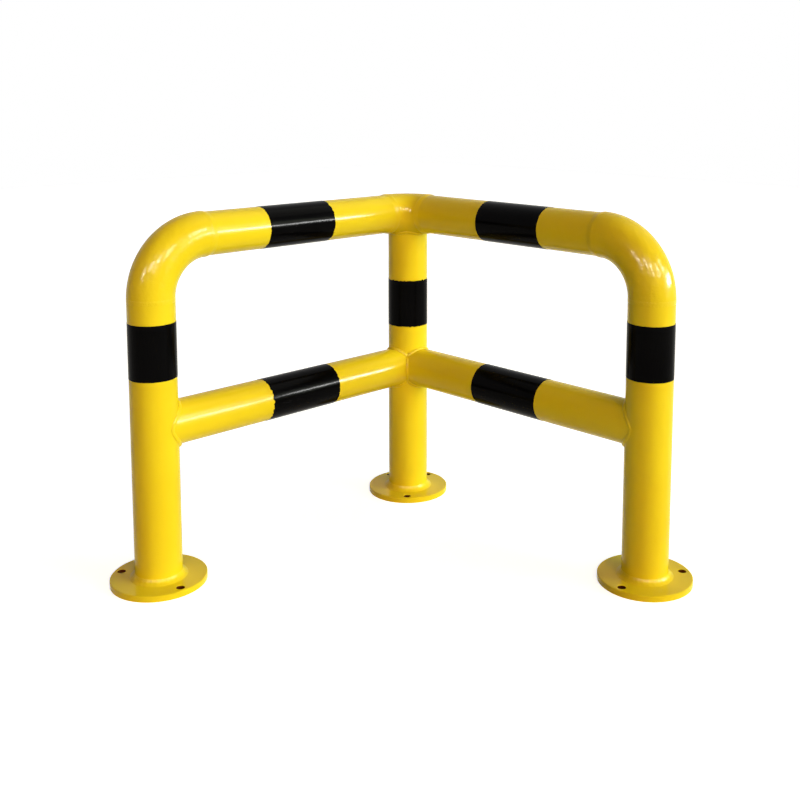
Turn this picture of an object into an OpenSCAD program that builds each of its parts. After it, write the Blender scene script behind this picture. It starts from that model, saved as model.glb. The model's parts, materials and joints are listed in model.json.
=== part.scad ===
// Corner guard rail: two arms of welded steel tube on three posts with round base plates.
// The corner post stands on the origin. One arm runs along +X and the other along -Y.

/* [Overall size] */
// Height from the floor to the top of the tube bends
overall_h = 600; // [520:5:900]
// Distance from the corner post's axis to each end post's axis
arm_span = 562; // [500:1:900]

/* [Tubes] */
// Outer diameter of the posts and of the tube bends
post_od = 76.1; // [74:0.1:84]
// Outer diameter of the top and mid rails
rail_od = 73; // [60:0.1:73.5]
// Wall thickness of every tube
tube_wall = 3; // [2:0.1:5]
// Height of the mid rails' axis, as a share of the overall height
mid_rail_share = 0.43; // [0.36:0.005:0.46]

/* [Tube bends] */
// Centre-line radius of the bend at the top of each end post
end_bend_r = 95; // [80:0.5:110]
// Centre-line radius of the bend above the corner post
corner_bend_r = 57; // [50:0.5:70]
// Thickness of the plate that closes the corner post behind its bend
closing_t = 3; // [2:0.5:6]

/* [Base plates] */
// Diameter of a base plate
plate_od = 155; // [145:1:170]
// Thickness of a base plate
plate_t = 10; // [6:0.5:16]
// Chamfer round the top edge of a base plate
plate_chamfer = 1; // [0.5:0.1:2]
// Radius of the circle that the bolt holes lie on
bolt_circle_r = 65; // [60:0.5:66]
// Diameter of a bolt hole
bolt_hole_d = 13; // [9:0.5:14]
// Chamfer round the mouth of a bolt hole
bolt_chamfer = 1; // [0.5:0.1:1.5]
// Angle between the hole in front of a post and each of its other two
bolt_spread = 144; // [110:1:150]

/* [Welds] */
// Leg of the fillet weld between post and base plate
foot_leg = 7; // [4:0.5:9]
// Width of a butt weld's bead
butt_w = 9; // [6:0.5:12]
// Height of a butt weld's bead above the tube
butt_h = 0.9; // [0.5:0.1:1.5]
// Leg of the welds at saddle cuts
saddle_leg = 5; // [3:0.5:6]
// Leg of the weld down the mitre between the mid rails
mitre_leg = 4; // [2:0.5:5]
// Crown of the welds between their toes
saddle_crown = 0.8; // [0.4:0.1:1.2]
// Length of one ripple along a hand-laid weld
ripple_pitch = 9; // [6:0.5:14]
// Height of a ripple
ripple_h = 0.3; // [0.1:0.1:0.5]

/* [Bands] */
// Thickness of the black band film
band_t = 0.4; // [0.2:0.1:0.8]
// Length of the bands on the three posts
post_band_len = 90; // [60:1:100]
// Height of the middle of those bands, as a share of the overall height
post_band_share = 0.643; // [0.625:0.001:0.65]
// Length of the bands on the top rails
top_band_len = 140; // [80:1:180]
// Distance from the corner post's axis to the middle of a top rail's band
top_band_at = 283; // [240:1:310]
// Length of the bands on the mid rails
mid_band_len = 147; // [80:1:180]
// Distance from the corner post's axis to the middle of a mid rail's band
mid_band_at = 279; // [240:1:310]

/* [Hidden] */
$fn = 240;

yellow = [0.95, 0.78, 0.08];
black = [0.03, 0.03, 0.035];

post_r = post_od / 2;
rail_r = rail_od / 2;
axis_z = overall_h - post_r;            // height of the top rails' axis
mid_rail_z = overall_h * mid_rail_share;
post_band_z = overall_h * post_band_share;
bend_z = axis_z - end_bend_r;           // height where an end post meets its bend
rail_end = arm_span - end_bend_r;       // distance out where a top rail meets its bend
reach = 2 * (overall_h + arm_span);     // longer than any piece, for cutting solids
root_depth = 0.6;                       // how far a bead's toes start below the tubes' skins
root_back = 1.2;                        // how far a bead's section reaches behind the joint line
shoulder_at = 0.3;                      // share of a butt bead's width from its middle to its shoulder
shoulder_h = 0.7;                       // height of that shoulder, as a share of the bead's
cap_steps = 4;                          // facets across a bead's face
step_deg = 5;                           // turn between two sections of a bead
probe_deg = 0.5;                        // half the turn over which a joint line's direction is taken
mitre_steps = 12;                       // sections down the mitre weld
mitre_from = asin(post_r / sqrt(2) / rail_r) + 0.9 * asin(saddle_leg / rail_r);
crown_half = 112;                       // degrees each way from the front that the crown weld runs

// Ring section of a tube
module ring(r) {
    difference() {
        circle(r = r);
        circle(r = r - tube_wall);
    }
}

// Straight tube standing on z = 0
module tube(r, len) {
    linear_extrude(len) ring(r);
}

// Lays a piece that stands on z = 0 along +X instead
module along_x() {
    rotate([0, 90, 0]) children();
}

// Copies the arm on +X to the arm on -Y
module on_left() {
    mirror([1, 1, 0]) children();
}

// Quarter bend in the XY plane, from the +X side of its centre to the +Y side
module quarter_bend(bend_r) {
    rotate_extrude(angle = 90) translate([bend_r, 0]) ring(post_r);
}

// Solid envelope of the corner bend, for cutting what seats against it
module corner_bend_solid() {
    translate([corner_bend_r, -corner_bend_r, axis_z])
        rotate_extrude() translate([corner_bend_r, 0]) circle(r = post_r);
}

// Solid envelopes of the post at the origin and of a mid rail along +X
module post_solid() {
    translate([0, 0, -reach / 2]) cylinder(r = post_r, h = reach);
}
module mid_rail_solid() {
    translate([0, 0, mid_rail_z]) along_x() translate([0, 0, -reach / 2]) cylinder(r = rail_r, h = reach);
}

// Everything on the far side of the upright mitre plane between the two arms
module beyond_mitre() {
    rotate([0, 0, -135]) translate([0, -reach / 2, -reach / 2]) cube(reach);
}

// Posts, each standing on its base plate
module end_post() {
    color(yellow) translate([arm_span, 0, plate_t]) tube(post_r, bend_z - plate_t);
}
module corner_post() {
    color(yellow) difference() {
        translate([0, 0, plate_t]) tube(post_r, axis_z - plate_t);
        corner_bend_solid();
    }
}

// Flat plate on the corner post's top edge, where the bend above leaves it open
module closing_plate() {
    color(yellow) difference() {
        translate([0, 0, axis_z]) cylinder(r = post_r, h = closing_t);
        corner_bend_solid();
    }
}

// Bends
module end_elbow() {
    color(yellow) translate([rail_end, 0, bend_z]) rotate([90, 0, 0]) quarter_bend(end_bend_r);
}
module corner_elbow() {
    color(yellow) translate([corner_bend_r, -corner_bend_r, axis_z])
        rotate([0, 0, 90]) quarter_bend(corner_bend_r);
}

// Rails: the mid rail is saddle cut onto both posts and mitred against the other arm's
module top_rail() {
    color(yellow) translate([corner_bend_r, 0, axis_z]) along_x() tube(rail_r, rail_end - corner_bend_r);
}
module mid_rail() {
    color(yellow) difference() {
        translate([0, 0, mid_rail_z]) along_x() tube(rail_r, arm_span);
        post_solid();
        translate([arm_span, 0, 0]) post_solid();
        beyond_mitre();
    }
}

// Base plate centred on the origin, with its front bolt hole towards +X
module plate() {
    color(yellow) difference() {
        rotate_extrude() polygon([
            [0, 0], [plate_od / 2, 0], [plate_od / 2, plate_t - plate_chamfer],
            [plate_od / 2 - plate_chamfer, plate_t], [0, plate_t]
        ]);
        for (a = [0, bolt_spread, -bolt_spread])
            rotate([0, 0, a]) translate([bolt_circle_r, 0, 0]) bolt_hole();
    }
}
module bolt_hole() {
    translate([0, 0, -1]) cylinder(d = bolt_hole_d, h = plate_t + 2);
    translate([0, 0, plate_t - bolt_chamfer])
        cylinder(r1 = bolt_hole_d / 2, r2 = bolt_hole_d / 2 + 2 * bolt_chamfer, h = 2 * bolt_chamfer);
}

// Fillet weld round the foot of a post at the origin
module foot_weld() {
    color(yellow) rotate_extrude() translate([post_r, plate_t]) polygon([
        [0, 0],
        for (k = [0:cap_steps]) let (u = k / cap_steps, bulge = saddle_crown * 4 * u * (1 - u) / sqrt(2))
            [foot_leg * (1 - u) + bulge, foot_leg * u + bulge]
    ]);
}

// Low bead round a butt joint at z = 0, over radius r_below and, above the joint, r_above
module butt_bead(r_below, r_above) {
    color(yellow) rotate_extrude() polygon([
        [r_below, 0], [r_below, -butt_w / 2], [r_below + butt_h * shoulder_h, -butt_w * shoulder_at],
        [r_below + butt_h, 0], [r_above + butt_h * shoulder_h, butt_w * shoulder_at],
        [r_above, butt_w / 2], [r_above, 0]
    ]);
}

// Section of a hand-laid bead at p, between two skins with outward normals na and nb,
// where da and db point along those skins towards the bead's toes
function bead_section(p, na, nb, da, db, leg, crown) =
    let (out = (na + nb) / norm(na + nb),
         toe_a = p + leg * da - root_depth * na,
         toe_b = p + leg * db - root_depth * nb)
    concat(
        [p - root_back * out],
        [for (k = [0:cap_steps]) let (u = k / cap_steps)
            (1 - u) * toe_a + u * toe_b + (crown + root_depth) * 4 * u * (1 - u) * out]
    );

// Crown of a bead at the distance s along it, with ripples
function rippled(s) = saddle_crown + ripple_h * sin(360 * s / ripple_pitch);

// Solid between successive sections, closed on itself or capped at both ends
module swept(sections, closed) {
    n = len(sections);
    k = len(sections[0]);
    last = closed ? n - 1 : n - 2;
    sides = [for (i = [0:last], j = [0:k - 1])
        let (a = i * k + j, b = i * k + (j + 1) % k,
             c = ((i + 1) % n) * k + (j + 1) % k, d = ((i + 1) % n) * k + j)
        each [[a, b, c], [a, c, d]]];
    ends = closed ? [] : [[for (j = [k - 1:-1:0]) j], [for (j = [0:k - 1]) (n - 1) * k + j]];
    polyhedron(points = [for (s = sections) each s], faces = concat(sides, ends), convexity = 8);
}

// Saddle curve of a rail along +X on the post at the origin, at the angle t round the rail
function saddle_x(t) = sqrt(post_r * post_r - pow(rail_r * sin(t), 2));
function saddle_at(t) = [saddle_x(t), rail_r * sin(t), mid_rail_z + rail_r * cos(t)];
function saddle_dir(t) =
    let (v = saddle_at(t + probe_deg) - saddle_at(t - probe_deg)) v / norm(v);
function saddle_section(t) =
    let (p = saddle_at(t), dir = saddle_dir(t),
         na = [0, sin(t), cos(t)], nb = [p.x, p.y, 0] / post_r)
    bead_section(p, na, nb, cross(dir, na), cross(nb, dir), saddle_leg, rippled(rail_r * t * PI / 180));

// Weld round a mid rail's saddle on the post at the origin
module saddle_bead() {
    color(yellow) difference() {
        swept([for (t = [0:step_deg:360 - step_deg]) saddle_section(t)], true);
        post_solid();
        mid_rail_solid();
    }
}

// The same weld at the corner post, ended where it would meet the other arm's
module corner_saddle_bead() {
    difference() {
        saddle_bead();
        beyond_mitre();
        on_left() mid_rail_solid();
    }
}

// Weld down the mitre in front of the corner post, between the two mid rails
function mitre_at(t) = [rail_r * sin(t), -rail_r * sin(t), mid_rail_z + rail_r * cos(t)];
function mitre_section(t) =
    let (p = mitre_at(t), v = mitre_at(t + probe_deg) - mitre_at(t - probe_deg), dir = v / norm(v),
         na = [0, -sin(t), cos(t)], nb = [sin(t), 0, cos(t)])
    bead_section(p, na, nb, cross(na, dir), cross(dir, nb), mitre_leg, rippled(rail_r * t * PI / 180));
module mitre_bead() {
    color(yellow) difference() {
        swept([for (k = [0:mitre_steps])
            mitre_section(mitre_from + (180 - 2 * mitre_from) * k / mitre_steps)], false);
        mid_rail_solid();
        on_left() mid_rail_solid();
        post_solid();
        corner_saddle_bead();
        on_left() corner_saddle_bead();
    }
}

// Weld round the corner post under its bend, at the angle f round the post
function bend_gap(f) =
    norm([post_r * cos(f) - corner_bend_r, post_r * sin(f) + corner_bend_r]) - corner_bend_r;
function crown_at(f) =
    [post_r * cos(f), post_r * sin(f), axis_z - sqrt(max(0, post_r * post_r - pow(bend_gap(f), 2)))];
function crown_section(f) =
    let (p = crown_at(f), v = crown_at(f + probe_deg) - crown_at(f - probe_deg), dir = v / norm(v),
         radial = [p.x - corner_bend_r, p.y + corner_bend_r, 0],
         mid = [corner_bend_r, -corner_bend_r, axis_z] + corner_bend_r * radial / norm(radial),
         na = (p - mid) / norm(p - mid), nb = [cos(f), sin(f), 0])
    bead_section(p, na, nb, cross(na, dir), cross(dir, nb), saddle_leg, rippled(post_r * f * PI / 180));
module crown_bead() {
    color(yellow) difference() {
        swept([for (f = [-45 - crown_half:step_deg:-45 + crown_half]) crown_section(f)], false);
        corner_bend_solid();
        post_solid();
        for (side = [0, 1]) mirror([side, side, 0]) translate([corner_bend_r, 0, axis_z]) along_x() {
            translate([0, 0, -butt_w / 2]) cylinder(r = post_r + butt_h, h = butt_w);
        }
    }
}

// Black film wrapped once round a tube, centred on z = 0
module band(r, len) {
    color(black) translate([0, 0, -len / 2]) linear_extrude(len) difference() {
        circle(r = r + band_t);
        circle(r = r);
    }
}
module post_band() {
    translate([0, 0, post_band_z]) band(post_r, post_band_len);
}
module top_band() {
    translate([top_band_at, 0, axis_z]) along_x() band(rail_r, top_band_len);
}
module mid_band() {
    translate([mid_band_at, 0, mid_rail_z]) along_x() band(rail_r, mid_band_len);
}

// Places for the pieces that an end post and its bend carry
module at_end_post() {
    translate([arm_span, 0, 0]) children();
}
module post_seam() {
    translate([arm_span, 0, bend_z]) butt_bead(post_r, post_r);
}
module rail_seam() {
    translate([rail_end, 0, axis_z]) rotate([0, -90, 0]) butt_bead(post_r, rail_r);
}
module corner_seam() {
    translate([corner_bend_r, 0, axis_z]) along_x() butt_bead(post_r, rail_r);
}
module end_saddle() {
    at_end_post() mirror([1, 0, 0]) saddle_bead();
}

on_left() end_post();  // post_left
corner_post();  // post_corner
end_post();  // post_right
closing_plate();
on_left() end_elbow();  // elbow_left
corner_elbow();  // elbow_corner
end_elbow();  // elbow_right
on_left() top_rail();  // top_rail_left
top_rail();  // top_rail_right
on_left() mid_rail();  // mid_rail_left
mid_rail();  // mid_rail_right
on_left() at_end_post() rotate([0, 0, -90]) plate();  // base_plate_left
rotate([0, 0, -45]) plate();  // base_plate_corner
at_end_post() rotate([0, 0, -90]) plate();  // base_plate_right
on_left() at_end_post() foot_weld();  // foot_weld_left
foot_weld();  // foot_weld_corner
at_end_post() foot_weld();  // foot_weld_right
on_left() post_seam();  // bend_weld_left_post
on_left() rail_seam();  // bend_weld_left_rail
post_seam();  // bend_weld_right_post
rail_seam();  // bend_weld_right_rail
on_left() corner_seam();  // corner_weld_left
corner_seam();  // corner_weld_right
crown_bead();  // crown_weld
on_left() end_saddle();  // saddle_weld_left_post
end_saddle();  // saddle_weld_right_post
on_left() corner_saddle_bead();  // saddle_weld_corner_left
corner_saddle_bead();  // saddle_weld_corner_right
mitre_bead();  // mitre_weld
on_left() at_end_post() post_band();  // band_post_left
post_band();  // band_post_corner
at_end_post() post_band();  // band_post_right
on_left() top_band();  // band_top_left
top_band();  // band_top_right
on_left() mid_band();  // band_mid_left
mid_band();  // band_mid_right
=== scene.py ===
import bpy
import json
import math
from mathutils import Matrix, Vector


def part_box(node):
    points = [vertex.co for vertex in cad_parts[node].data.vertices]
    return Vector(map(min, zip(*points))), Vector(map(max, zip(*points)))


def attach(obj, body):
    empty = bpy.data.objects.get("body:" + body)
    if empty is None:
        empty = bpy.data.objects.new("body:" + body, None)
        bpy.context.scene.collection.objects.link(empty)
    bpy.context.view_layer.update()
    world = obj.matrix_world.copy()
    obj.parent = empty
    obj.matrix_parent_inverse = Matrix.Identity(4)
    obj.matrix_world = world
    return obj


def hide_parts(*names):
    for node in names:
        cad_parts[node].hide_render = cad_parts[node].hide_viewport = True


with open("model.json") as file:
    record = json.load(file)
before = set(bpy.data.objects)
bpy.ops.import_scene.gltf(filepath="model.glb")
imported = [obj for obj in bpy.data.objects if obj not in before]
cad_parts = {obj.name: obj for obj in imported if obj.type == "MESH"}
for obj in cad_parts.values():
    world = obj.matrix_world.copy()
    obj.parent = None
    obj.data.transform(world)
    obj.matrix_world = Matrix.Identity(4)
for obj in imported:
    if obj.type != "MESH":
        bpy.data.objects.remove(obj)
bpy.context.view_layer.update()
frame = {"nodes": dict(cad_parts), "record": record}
nodes = frame["nodes"]
print("frame loaded:", len(nodes), "nodes")

# Camera at the photograph's viewing angle, in metres and degrees
camera = {
    "place": (1.4628, -1.3937, 0.7912),
    "azimuth": 44.63,
    "elevation": 6.66,
    "roll": 0.15,
    "focalPixels": 1039.2,
    "centreX": 439.4,
    "centreY": 215.0,
    "imagePixels": 800,
    "sensorWidth": 36.0,
}


def makeCamera(c):
    data = bpy.data.cameras.new("camera")
    data.sensor_width = c["sensorWidth"]
    data.lens = c["focalPixels"] * c["sensorWidth"] / c["imagePixels"]
    half = c["imagePixels"] / 2
    data.shift_x = (half - c["centreX"]) / c["imagePixels"]
    data.shift_y = (c["centreY"] - half) / c["imagePixels"]
    obj = bpy.data.objects.new("camera", data)
    bpy.context.scene.collection.objects.link(obj)
    az, el = math.radians(c["azimuth"]), math.radians(c["elevation"])
    back = Vector((math.sin(az) * math.cos(el), -math.cos(az) * math.cos(el), math.sin(el)))
    turn = (-back).to_track_quat("-Z", "Y").to_matrix() @ Matrix.Rotation(math.radians(c["roll"]), 3, "Z")
    obj.matrix_world = Matrix.Translation(c["place"]) @ turn.to_4x4()
    bpy.context.scene.camera = obj


makeCamera(camera)
print("camera set")

# Studio: soft light low from the right, a weaker warm light from the front left, a pale floor,
# and a strip and a row of small lamps that only show in the gloss
studio = {
    "lamps": {  # turn from +X, height and softness in degrees, strength, colour
        "keyLamp": (26, 13, 34, 2.3, (0.88, 1.0, 0.72)),
        "sideLamp": (-24, 24, 34, 1.6, (1.0, 0.66, 0.35)),
        "topLamp": (70, 62, 45, 0.5, (1.0, 1.0, 0.85)),
    },
    "glints": ((26, 28), (-5, 27), (-33, 29), (-54, 28), (-82, 22)),  # turn and height of each small lamp
    "glintLamp": (6.5, 3.0, (1.0, 1.0, 1.0)),  # softness in degrees, strength, colour
    "stripPlace": (2.9, 2.0, 1.08),
    "stripAim": (0.0, -0.25, 0.42),
    "stripSize": (1.7, 0.21),
    "stripPower": 340.0,
    "worldLight": 0.05,
    "floorSize": 14.0,
    "floorColour": 0.72,
    "floorRoughness": 0.9,
    "floorGlow": 0.82,
    "underPlate": 0.070,
}


def aimed(obj, direction):
    obj.rotation_euler = Vector(direction).to_track_quat("Z", "Y").to_euler()
    bpy.context.scene.collection.objects.link(obj)


def softLamp(name, turn, height, softness, strength, colour, glintOnly=False):
    data = bpy.data.lights.new(name, "SUN")
    data.energy = strength
    data.angle = math.radians(softness)
    data.color = colour
    turn, height = math.radians(turn), math.radians(height)
    obj = bpy.data.objects.new(name, data)
    obj.visible_diffuse = not glintOnly
    aimed(obj, (math.cos(turn) * math.cos(height), math.sin(turn) * math.cos(height), math.sin(height)))


def stripLamp(s):
    data = bpy.data.lights.new("stripLamp", "AREA")
    data.shape = "RECTANGLE"
    data.size, data.size_y = s["stripSize"]
    data.energy = s["stripPower"]
    obj = bpy.data.objects.new("stripLamp", data)
    obj.location = s["stripPlace"]
    obj.visible_diffuse = False  # it only draws the thin highlight along the tubes
    aimed(obj, Vector(s["stripPlace"]) - Vector(s["stripAim"]))


def feed(tree, socket, value):
    # The value is a number, a colour or the output of another node
    if isinstance(value, bpy.types.NodeSocket):
        tree.links.new(value, socket)
    else:
        socket.default_value = value


def maths(tree, operation, first, second):
    node = tree.nodes.new("ShaderNodeMath")
    node.operation = operation
    feed(tree, node.inputs[0], first)
    feed(tree, node.inputs[1], second)
    return node.outputs[0]


def mixed(tree, share, first, second):
    node = tree.nodes.new("ShaderNodeMix")
    node.data_type = "RGBA"
    feed(tree, node.inputs["Factor"], share)
    feed(tree, node.inputs[6], first)  # A and B for colours, behind those for numbers and vectors
    feed(tree, node.inputs[7], second)
    return node.outputs[2]


def ranged(tree, value, ends=(0.0, 1.0), newEnds=(0.0, 1.0)):
    node = tree.nodes.new("ShaderNodeMapRange")
    feed(tree, node.inputs["Value"], value)
    for name, end in zip(("From Min", "From Max", "To Min", "To Max"), (*ends, *newEnds)):
        node.inputs[name].default_value = end
    return node.outputs[0]


def backdropRays(tree):
    # 1 for the rays that show the background: to the camera, in gloss and through glass
    path = tree.nodes.new("ShaderNodeLightPath")
    seen = path.outputs["Is Camera Ray"]
    for kind in ("Is Glossy Ray", "Is Transmission Ray"):
        seen = maths(tree, "MAXIMUM", seen, path.outputs[kind])
    return seen


def nearestInPlan(tree, mountStart):
    # How far a point is, seen from above, from the nearest mount whose name starts that way
    where = tree.nodes.new("ShaderNodeTexCoord")
    plan = tree.nodes.new("ShaderNodeVectorMath")
    plan.operation = "MULTIPLY"
    plan.inputs[1].default_value = (1, 1, 0)
    tree.links.new(where.outputs["Object"], plan.inputs[0])
    nearest = None
    for mount in frame["record"]["mounts"]:
        if not mount["name"].startswith(mountStart):
            continue
        away = tree.nodes.new("ShaderNodeVectorMath")
        away.operation = "DISTANCE"
        away.inputs[1].default_value = (*mount["pos_m"][:2], 0)
        tree.links.new(plan.outputs[0], away.inputs[0])
        distance = away.outputs["Value"]
        nearest = maths(tree, "MINIMUM", nearest, distance) if nearest else distance
    return nearest


def makeWorld(s):
    world = bpy.data.worlds.new("studioWorld")
    bpy.context.scene.world = world
    world.use_nodes = True
    tree = world.node_tree
    background = tree.nodes["Background"]
    background.inputs["Color"].default_value = (1.0, 1.0, 1.0, 1.0)
    level = ranged(tree, backdropRays(tree), newEnds=(s["worldLight"], 1.0))
    tree.links.new(level, background.inputs["Strength"])


def makeFloor(s):
    bpy.ops.object.select_all(action="DESELECT")
    bpy.ops.mesh.primitive_plane_add(size=s["floorSize"], location=(0, 0, 0))
    floor = bpy.context.object
    floor.name = "floor"
    material = bpy.data.materials.new("paleFloor")
    material.use_nodes = True
    tree = material.node_tree
    shader = tree.nodes["Principled BSDF"]
    shader.inputs["Base Color"].default_value = (s["floorColour"], s["floorColour"], s["floorColour"], 1.0)
    shader.inputs["Roughness"].default_value = s["floorRoughness"]
    shader.inputs["Specular IOR Level"].default_value = 0.0
    shader.inputs["Emission Color"].default_value = (1.0, 1.0, 1.0, 1.0)
    glow = maths(tree, "MULTIPLY", backdropRays(tree), s["floorGlow"])
    beside = maths(tree, "GREATER_THAN", nearestInPlan(tree, "foot_"), s["underPlate"])
    clear = maths(tree, "MULTIPLY", glow, beside)  # no glow under the plates, so that their holes look dark
    tree.links.new(clear, shader.inputs["Emission Strength"])
    floor.data.materials.append(material)


for name, values in studio["lamps"].items():
    softLamp(name, *values)
for number, (turn, height) in enumerate(studio["glints"]):
    softLamp("glintLamp%d" % number, turn, height, *studio["glintLamp"], glintOnly=True)
stripLamp(studio)
makeWorld(studio)
makeFloor(studio)
bpy.context.scene.view_settings.view_transform = "Standard"
print("studio lit")

# How every finish varies: clouds of tone, roughness that goes with them, and bumps
surface = {
    "cloudDetail": 3.0,
    "cloudEdges": (0.35, 0.68),  # where in the noise the first tone ends and the second is full
    "smearRange": (0.88, 1.14),  # times the roughness
    "bumpDetail": 2.0,
}

# Yellow powder coat, the same coat over welds and on the bends, and the bolt holes' walls in dark brown:
# bare steel with painted shade
coat = {
    "yellow": (0.88, 0.70, 0.019, 1.0),
    "deepYellow": (0.85, 0.64, 0.014, 1.0),
    "roughness": 0.20,
    "weldRoughness": 0.30,
    "specular": 0.075,
    "cloudScale": 5.0,
    "peelScale": 420.0,
    "peelHeight": 0.00012,
    "weldLumpScale": 190.0,
    "weldLumpHeight": 0.0006,
    "waveScale": 75.0,
    "waveHeight": 0.0009,
    # bare steel of the bolt holes' walls, made darker as painted shade inside the holes
    "bareBoreAndShade": (0.10, 0.028, 0.004, 1.0),
    "boreRadius": 0.0067,
}

# Black film, with faint creases
film = {
    "black": (0.001, 0.001, 0.0015, 1.0),
    "blackWorn": (0.002, 0.002, 0.003, 1.0),
    "roughness": 0.15,
    "specular": 0.02,
    "cloudScale": 9.0,
    "grainScale": 300.0,
    "grainHeight": 0.00004,
    "creaseScale": 60.0,
    "creaseHeight": 0.00018,
}


def makeSurfaceGroup(s):
    # Two-tone cloudy colour, uneven gloss and a bumped normal, shared by every finish
    group = bpy.data.node_groups.new("sprayedSurface", "ShaderNodeTree")
    for name, kind in (("Colour A", "NodeSocketColor"), ("Colour B", "NodeSocketColor"),
                       ("Roughness", "NodeSocketFloat"), ("Cloud Scale", "NodeSocketFloat"),
                       ("Fine Scale", "NodeSocketFloat"), ("Fine Height", "NodeSocketFloat"),
                       ("Lump Scale", "NodeSocketFloat"), ("Lump Height", "NodeSocketFloat")):
        group.interface.new_socket(name, in_out="INPUT", socket_type=kind)
    for name, kind in (("Colour", "NodeSocketColor"), ("Roughness", "NodeSocketFloat"),
                       ("Normal", "NodeSocketVector")):
        group.interface.new_socket(name, in_out="OUTPUT", socket_type=kind)
    add, link = group.nodes.new, group.links.new
    inlet, outlet = add("NodeGroupInput"), add("NodeGroupOutput")
    where = add("ShaderNodeTexCoord")

    def noise(scale, detail):
        grain = add("ShaderNodeTexNoise")
        grain.inputs["Detail"].default_value = detail
        link(where.outputs["Object"], grain.inputs["Vector"])
        link(inlet.outputs[scale], grain.inputs["Scale"])
        return grain.outputs["Fac"]

    cloud = noise("Cloud Scale", s["cloudDetail"])
    tone = ranged(group, cloud, ends=s["cloudEdges"])
    link(mixed(group, tone, inlet.outputs["Colour A"], inlet.outputs["Colour B"]), outlet.inputs["Colour"])
    smear = ranged(group, cloud, newEnds=s["smearRange"])
    link(maths(group, "MULTIPLY", smear, inlet.outputs["Roughness"]), outlet.inputs["Roughness"])

    heights = []
    for kind in ("Fine", "Lump"):
        grain = noise(kind + " Scale", s["bumpDetail"])
        heights.append(maths(group, "MULTIPLY", grain, inlet.outputs[kind + " Height"]))
    bump = add("ShaderNodeBump")
    bump.inputs["Distance"].default_value = 1.0
    link(maths(group, "ADD", *heights), bump.inputs["Height"])
    link(bump.outputs["Normal"], outlet.inputs["Normal"])
    return group


surfaceGroup = makeSurfaceGroup(surface)


def makeFinish(name, specular, values):
    material = bpy.data.materials.new(name)
    material.use_nodes = True
    tree = material.node_tree
    shader = tree.nodes["Principled BSDF"]
    shader.inputs["Specular IOR Level"].default_value = specular
    skin = tree.nodes.new("ShaderNodeGroup")
    skin.node_tree = surfaceGroup
    for key, value in values.items():
        skin.inputs[key].default_value = value
    tree.links.new(skin.outputs["Colour"], shader.inputs["Base Color"])
    tree.links.new(skin.outputs["Roughness"], shader.inputs["Roughness"])
    tree.links.new(skin.outputs["Normal"], shader.inputs["Normal"])
    return material


def makePlateFinish(coated, c):
    # The coat again, with the bolt holes' walls in dark brown: bare steel with painted shade inside the
    # holes
    material = coated.copy()
    material.name = "platePowderCoat"
    tree = material.node_tree
    colour = tree.nodes["Principled BSDF"].inputs["Base Color"]
    inside = maths(tree, "LESS_THAN", nearestInPlan(tree, "bolt_"), c["boreRadius"])
    tree.links.new(mixed(tree, inside, colour.links[0].from_socket, c["bareBoreAndShade"]), colour)
    return material


sprayed = {
    "Colour A": coat["yellow"], "Colour B": coat["deepYellow"], "Roughness": coat["roughness"],
    "Cloud Scale": coat["cloudScale"], "Fine Scale": coat["peelScale"], "Fine Height": coat["peelHeight"],
    "Lump Scale": coat["waveScale"], "Lump Height": 0.0,
}
overWeld = {"Roughness": coat["weldRoughness"],
            "Lump Scale": coat["weldLumpScale"], "Lump Height": coat["weldLumpHeight"]}
wrapped = {
    "Colour A": film["black"], "Colour B": film["blackWorn"], "Roughness": film["roughness"],
    "Cloud Scale": film["cloudScale"], "Fine Scale": film["grainScale"], "Fine Height": film["grainHeight"],
    "Lump Scale": film["creaseScale"], "Lump Height": film["creaseHeight"],
}
finishes = {
    "yellow_coat": makeFinish("yellowPowderCoat", coat["specular"], sprayed),
    "yellow_weld": makeFinish("coatedWeld", coat["specular"], {**sprayed, **overWeld}),
    "black_band": makeFinish("blackFilm", film["specular"], wrapped),
}
bentFinish = makeFinish("bentPowderCoat", coat["specular"], {**sprayed, "Lump Height": coat["waveHeight"]})
plateFinish = makePlateFinish(finishes["yellow_coat"], coat)
ownFinish = {
    "elbow_left": bentFinish,
    "elbow_right": bentFinish,
    "base_plate_left": plateFinish,
    "base_plate_corner": plateFinish,
    "base_plate_right": plateFinish,
}
print("finishes made")

slots = {entry["node"]: entry["material_slot"] for entry in frame["record"]["subparts"]}
for node, slot in slots.items():
    nodes[node].data.materials.clear()
    nodes[node].data.materials.append(ownFinish.get(node, finishes[slot]))
print("nodes finished")

# Tube sizes and places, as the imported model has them
postLow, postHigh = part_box("post_right")
railLow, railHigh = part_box("top_rail_right")
tubes = {
    "postRadius": (postHigh[0] - postLow[0]) / 2,
    "railRadius": (railHigh[1] - railLow[1]) / 2,
    "armSpan": (postHigh[0] + postLow[0]) / 2,
    "bendFoot": postHigh[2],
    "plateTop": postLow[2],
    "railAxis": (railHigh[2] + railLow[2]) / 2,
    "cornerEnd": railLow[0],
    "bendEnd": railHigh[0],
}

# What all pieces share, in metres and degrees
making = {
    "seedSize": 0.001,  # plane that becomes a ring's first point
    "samePoint": 0.000002,
    "smoothUnder": 40,
}
quarter = math.pi / 2


def alone(obj):
    bpy.ops.object.select_all(action="DESELECT")
    obj.select_set(True)
    bpy.context.view_layer.objects.active = obj


def applied(obj, kind, **values):
    alone(obj)
    modifier = obj.modifiers.new(kind.lower(), kind)
    for key, value in values.items():
        setattr(modifier, key, value)
    bpy.ops.object.modifier_apply(modifier=modifier.name)


def pick(obj, test, mode="VERT"):
    # Selects in edit mode what passes the test, by its place
    bpy.ops.mesh.select_all(action="DESELECT")
    bpy.ops.mesh.select_mode(type=mode)
    bpy.ops.object.mode_set(mode="OBJECT")
    for part in (obj.data.vertices if mode == "VERT" else obj.data.polygons):
        part.select = test(part.co if mode == "VERT" else part.center)
    bpy.ops.object.mode_set(mode="EDIT")


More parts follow.
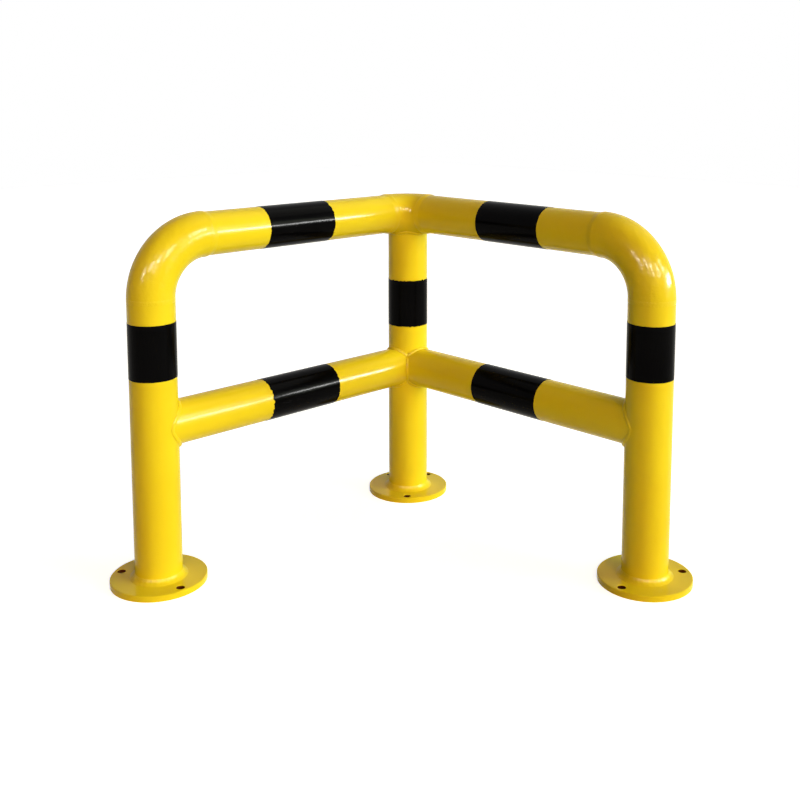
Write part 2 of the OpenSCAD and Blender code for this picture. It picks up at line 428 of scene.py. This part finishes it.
def seated(obj, node):
    # Finishes a piece that stands for one node
    alone(obj)
    bpy.ops.object.transform_apply(location=True, rotation=True, scale=True)
    bpy.ops.object.shade_smooth_by_angle(angle=math.radians(making["smoothUnder"]))
    obj.data.materials.clear()
    obj.data.materials.append(finishes[slots[node]])
    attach(obj, "root")
    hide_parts(node)


def spunRing(name, section, steps):
    # Ring about Z from a closed section of (radius, height) points
    bpy.ops.object.select_all(action="DESELECT")
    bpy.ops.mesh.primitive_plane_add(size=making["seedSize"], location=(0, 0, 0))
    ring = bpy.context.object
    ring.name = name
    bpy.ops.object.mode_set(mode="EDIT")
    bpy.ops.mesh.select_all(action="SELECT")
    bpy.ops.mesh.merge(type="CENTER")
    bpy.ops.transform.translate(value=(section[0][0], 0, section[0][1]))
    for (r0, z0), (r1, z1) in zip(section, section[1:]):
        bpy.ops.mesh.extrude_region_move(TRANSFORM_OT_translate={"value": (r1 - r0, 0, z1 - z0)})
    ends = [Vector((r, 0, z)) for r, z in (section[0], section[-1])]
    pick(ring, lambda place: min((place - end).length for end in ends) < making["samePoint"])
    bpy.ops.mesh.edge_face_add()
    bpy.ops.mesh.select_all(action="SELECT")
    bpy.ops.mesh.spin(steps=steps, angle=2 * math.pi, center=(0, 0, 0), axis=(0, 0, 1))
    bpy.ops.mesh.select_all(action="SELECT")
    bpy.ops.mesh.remove_doubles(threshold=making["samePoint"])
    bpy.ops.mesh.normals_make_consistent(inside=False)
    bpy.ops.object.mode_set(mode="OBJECT")
    return ring


# Fillet welds at the feet: a soft skirt with the ripples of a hand-laid bead under the coat
footSkirt = {
    "reach": 0.0085,
    "rise": 0.0085,
    "tuck": 0.001,  # how far the skirt's hidden sides go into the tube and the plate
    "edge": 0.0002,
    "hollow": 0.13,
    "hollowAt": (0.2, 0.4, 0.6, 0.8),
    "steps": 150,
    "rippleEvery": 5,  # steps from crest to crest
    "rippleHeight": 0.0003,
    "crestShare": 0.12,  # of that way, to each side of a crest
    "clearOfPost": 0.0006,
    "clearOfPlate": 0.001,
    "feet": {"foot_weld_left": (0, -1), "foot_weld_corner": (0, 0), "foot_weld_right": (1, 0)},
}


def makeFootSkirt(k, node, side):
    r, z = tubes["postRadius"], tubes["plateTop"]
    section = [(r - k["tuck"], z + k["rise"]), (r + k["edge"], z + k["rise"])]
    for share in k["hollowAt"]:
        hollow = math.sin(math.pi * share) * k["hollow"]
        section.append((r + k["reach"] * (share - hollow), z + k["rise"] * (1 - share - hollow)))
    toe, under = r + k["reach"], z - k["tuck"]
    section += [(toe, z + k["edge"]), (toe, under), (r - k["tuck"], under)]
    skirt = spunRing("skirt_" + node, section, k["steps"])
    bpy.ops.object.mode_set(mode="EDIT")
    pitch = 2 * math.pi / k["steps"] * k["rippleEvery"]

    def onCrest(place):
        turn = math.atan2(place.y, place.x) / pitch
        clear = place.z > z + k["clearOfPlate"] and place.xy.length > r + k["clearOfPost"]
        return clear and abs(turn - round(turn)) < k["crestShare"]
    pick(skirt, onCrest)
    bpy.ops.transform.shrink_fatten(value=k["rippleHeight"])
    bpy.ops.object.mode_set(mode="OBJECT")
    skirt.location = (side[0] * tubes["armSpan"], side[1] * tubes["armSpan"], 0)
    seated(skirt, node)


for node, side in footSkirt["feet"].items():
    makeFootSkirt(footSkirt, node, side)
print("foot skirts made")

# Butt welds at the bends: dressed almost flush, and filled out to the narrower rail by the coat
seamSleeve = {
    "crest": 0.00025,
    "crestAt": 0.0004,  # past the seam, over the next tube
    "shoulder": (0.7, 0.4),  # share of the crest's height, share of the way back over the bend
    "slope": (  # share of the way over the next tube, share of the step that is left, lift
        (0.25, 0.80, 0.00015),
        (0.55, 0.35, 0.0002),
        (0.80, 0.10, 0.0001),
    ),
    "tuck": 0.0008,
    "skin": 0.00003,
    "overBend": 0.0030,
    "overRail": 0.0095,
    "overPost": 0.0050,
    "steps": 144,
}


def makeSeamSleeve(k, node, radius, cover, place, turn):
    big = tubes["postRadius"]
    high, back = k["shoulder"]
    section = [(radius - k["tuck"], -k["overBend"]), (big + k["skin"], -k["overBend"]),
               (big + high * k["crest"], -back * k["overBend"]), (big + k["crest"], k["crestAt"])]
    for along, left, lift in k["slope"]:
        section.append((radius + left * (big - radius) + lift, along * cover))
    section += [(radius + k["skin"], cover), (radius - k["tuck"], cover)]
    sleeve = spunRing("sleeve_" + node, section, k["steps"])
    sleeve.rotation_euler = turn
    sleeve.location = place
    seated(sleeve, node)


onPost = (tubes["postRadius"], seamSleeve["overPost"])
onRail = (tubes["railRadius"], seamSleeve["overRail"])
span, foot, axis = tubes["armSpan"], tubes["bendFoot"], tubes["railAxis"]
seams = {
    "bend_weld_right_post": (*onPost, (span, 0, foot), (2 * quarter, 0, 0)),
    "bend_weld_left_post": (*onPost, (0, -span, foot), (2 * quarter, 0, 0)),
    "bend_weld_right_rail": (*onRail, (tubes["bendEnd"], 0, axis), (0, -quarter, 0)),
    "bend_weld_left_rail": (*onRail, (0, -tubes["bendEnd"], axis), (-quarter, 0, 0)),
    "corner_weld_right": (*onRail, (tubes["cornerEnd"], 0, axis), (0, quarter, 0)),
    "corner_weld_left": (*onRail, (0, -tubes["cornerEnd"], axis), (quarter, 0, 0)),
}
for node, values in seams.items():
    makeSeamSleeve(seamSleeve, node, *values)
print("seam sleeves made")

# Saddle welds, softened by the coat that runs into their toes
softBead = {
    "joinUnder": 0.00001,
    "swell": 0.0002,
    "voxel": 0.0008,
    "smoothing": 0.5,
    "rounds": 22,
    "welds": ("saddle_weld_left_post", "saddle_weld_right_post", "saddle_weld_corner_left",
              "saddle_weld_corner_right", "mitre_weld", "crown_weld"),
}


def makeSoftBead(k, node):
    bead = bpy.data.objects.new("bead_" + node, nodes[node].data.copy())
    bpy.context.scene.collection.objects.link(bead)
    alone(bead)
    bpy.ops.object.mode_set(mode="EDIT")
    bpy.ops.mesh.select_all(action="SELECT")
    bpy.ops.mesh.remove_doubles(threshold=k["joinUnder"])
    bpy.ops.object.mode_set(mode="OBJECT")
    applied(bead, "DISPLACE", strength=k["swell"], mid_level=0.0)
    applied(bead, "REMESH", mode="VOXEL", voxel_size=k["voxel"])
    applied(bead, "SMOOTH", factor=k["smoothing"], iterations=k["rounds"])
    seated(bead, node)


for node in softBead["welds"]:
    makeSoftBead(softBead, node)
print("saddle beads softened")

# Black bands: one wrap of film each, with a lap on the far side and slightly uneven edges
filmBand = {
    "film": 0.0004,
    "vertices": 96,
    "edgeZone": 0.003,
    "rim": 0.0001,
    "lapHalf": 9.0,
    "lapRise": 0.0003,
    "firstSeed": 3,
    "wraps": {  # way the tube runs, side of the lap round it in degrees, unevenness of the edges
        "band_post_left": ("Z", 135, 0.0002),
        "band_post_right": ("Z", 135, 0.0002),
        "band_post_corner": ("Z", 135, 0.0016),
        "band_top_left": ("Y", 180, 0.0020),
        "band_mid_left": ("Y", 180, 0.0020),
        "band_top_right": ("X", 90, 0.0004),
        "band_mid_right": ("X", 90, 0.0004),
    },
    "turns": {"Z": (0, 0, 0), "X": (0, quarter, 0), "Y": (quarter, 0, 0)},
}


def makeFilmBand(k, node, way, lapSide, uneven, seed):
    low, high = (Vector(corner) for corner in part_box(node))
    size = high - low
    length = size["XYZ".index(way)]
    radius = min(size) / 2 if way == "Z" else size.z / 2
    bpy.ops.object.select_all(action="DESELECT")
    bpy.ops.mesh.primitive_cylinder_add(vertices=k["vertices"], radius=radius, depth=length,
                                        end_fill_type="NOTHING")
    wrap = bpy.context.object
    wrap.name = "film_" + node
    bpy.ops.object.mode_set(mode="EDIT")
    for height in (length / 2 - k["edgeZone"], 0, k["edgeZone"] - length / 2):
        bpy.ops.mesh.select_all(action="SELECT")
        bpy.ops.mesh.bisect(plane_co=(0, 0, height), plane_no=(0, 0, 1))
    pick(wrap, lambda place: abs(place.z) > length / 2 - k["rim"])
    bpy.ops.transform.vertex_random(offset=uneven, seed=seed)
    bpy.ops.object.mode_set(mode="OBJECT")
    for vertex in wrap.data.vertices:  # the film stays on the tube
        vertex.co.xy *= radius / vertex.co.xy.length
    bpy.ops.object.mode_set(mode="EDIT")
    lap = math.radians(lapSide)

    def onLap(place):
        turn = math.atan2(place.y, place.x) - lap
        return abs(math.degrees(math.atan2(math.sin(turn), math.cos(turn)))) < k["lapHalf"]
    pick(wrap, onLap, "FACE")
    bpy.ops.mesh.extrude_region_shrink_fatten(TRANSFORM_OT_shrink_fatten={"value": k["lapRise"]})
    bpy.ops.object.mode_set(mode="OBJECT")
    applied(wrap, "SOLIDIFY", thickness=k["film"], offset=-1.0)
    wrap.rotation_euler = k["turns"][way]
    wrap.location = (low + high) / 2
    seated(wrap, node)


for seed, (node, values) in enumerate(filmBand["wraps"].items(), filmBand["firstSeed"]):
    makeFilmBand(filmBand, node, *values, seed)
print("film bands made")
